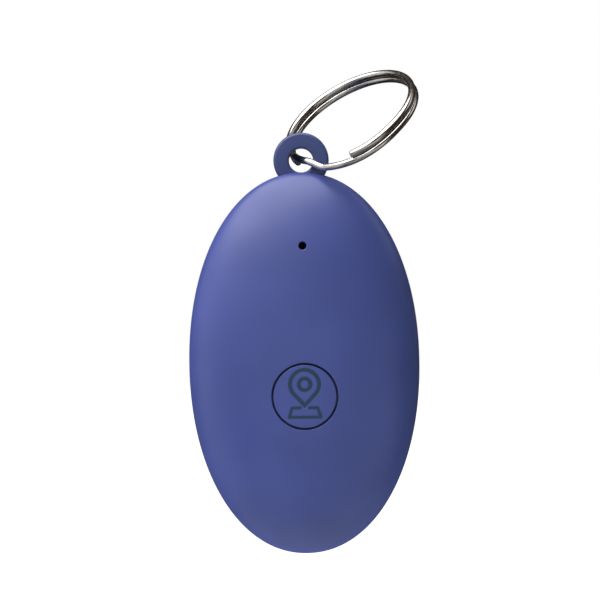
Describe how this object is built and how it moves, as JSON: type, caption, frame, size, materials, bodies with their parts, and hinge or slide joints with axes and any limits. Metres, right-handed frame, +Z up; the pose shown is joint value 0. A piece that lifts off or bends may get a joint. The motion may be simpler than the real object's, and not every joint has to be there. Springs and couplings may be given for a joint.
{
  "type": "bluetooth tracker tag",
  "caption": "Oval pebble tracker tag with a press button, a sound hole, a turn-lock battery door and an eyelet that carries a split key ring.",
  "frame": {"origin": "centre of the eyelet's hole, half way through the eyelet's thickness", "axes": "+Z up the tag from its foot to its eyelet, -Y out of the domed front with the button, +X to the right seen from the front"},
  "size_m": [0.0316, 0.0191, 0.0656],
  "materials": {
    "blue_shell": "satin soft-touch lacquer over moulded plastic",
    "blue_button": "satin, with an engraved and inked location mark",
    "ring_steel": "bright nickel plate on spring steel",
    "nickel_steel": "nickel-plated, lightly brushed",
    "screw_steel": "zinc-plated",
    "gold_spring": "gold-flashed spring bronze",
    "green_board": "glass-epoxy under green solder mask",
    "black_plastic": "moulded, fine texture",
    "tan_ceramic": "fired ceramic with tinned ends",
    "white_ceramic": "fired ceramic",
    "black_rubber": "moulded nitrile",
    "grey_silicone": "moulded silicone",
    "black_foam": "closed-cell foam",
    "black_mesh": "woven acoustic mesh"
  },
  "bodies": {
    "case": {"front_shell": "blue_shell", "rear_shell": "blue_shell", "shell_gasket": "black_rubber", "switch_body": "black_plastic", "sound_mesh": "black_mesh", "sound_duct": "grey_silicone", "beeper": "black_plastic", "circuit_board": "green_board", "radio_chip": "black_plastic", "crystal": "nickel_steel", "power_inductor": "black_plastic", "chip_antenna": "white_ceramic", "antenna_capacitor": "tan_ceramic", "crystal_capacitor": "tan_ceramic", "power_capacitor": "tan_ceramic", "battery_carrier": "black_plastic", "negative_contact": "gold_spring", "positive_contact": "gold_spring", "coin_cell": "nickel_steel", "carrier_screw_1": "screw_steel", "carrier_screw_2": "screw_steel", "carrier_screw_3": "screw_steel", "carrier_screw_4": "screw_steel"},
    "button": {"button_cap": "blue_button", "button_pad": "grey_silicone"},
    "stem": {"switch_stem": "grey_silicone"},
    "door": {"battery_door": "blue_shell", "door_seal": "black_rubber", "door_foam": "black_foam"},
    "ring": {"split_ring": "ring_steel"}
  },
  "joints": [
    {"name": "ring_swing", "type": "hinge", "parent": "case", "child": "ring", "pos_m": [0, 0, 0], "axis": [0, 1, 0], "range_deg": [-150, 20]},
    {"name": "button_press", "type": "slide", "parent": "case", "child": "button", "axis": [0, 1, 0], "range_m": [0, 0.00025], "stiffness_N_per_m": 1200},
    {"name": "stem_press", "type": "slide", "parent": "case", "child": "stem", "axis": [0, 1, 0], "range_m": [0, 0.00025]},
    {"name": "door_turn", "type": "hinge", "parent": "case", "child": "door", "pos_m": [0, 0.0031, -0.03138], "axis": [0, 1, 0], "range_deg": [0, 45]}
  ],
  "couplings": [
    {"joint": "stem_press", "follows": "button_press", "ratio": 1}
  ]
}
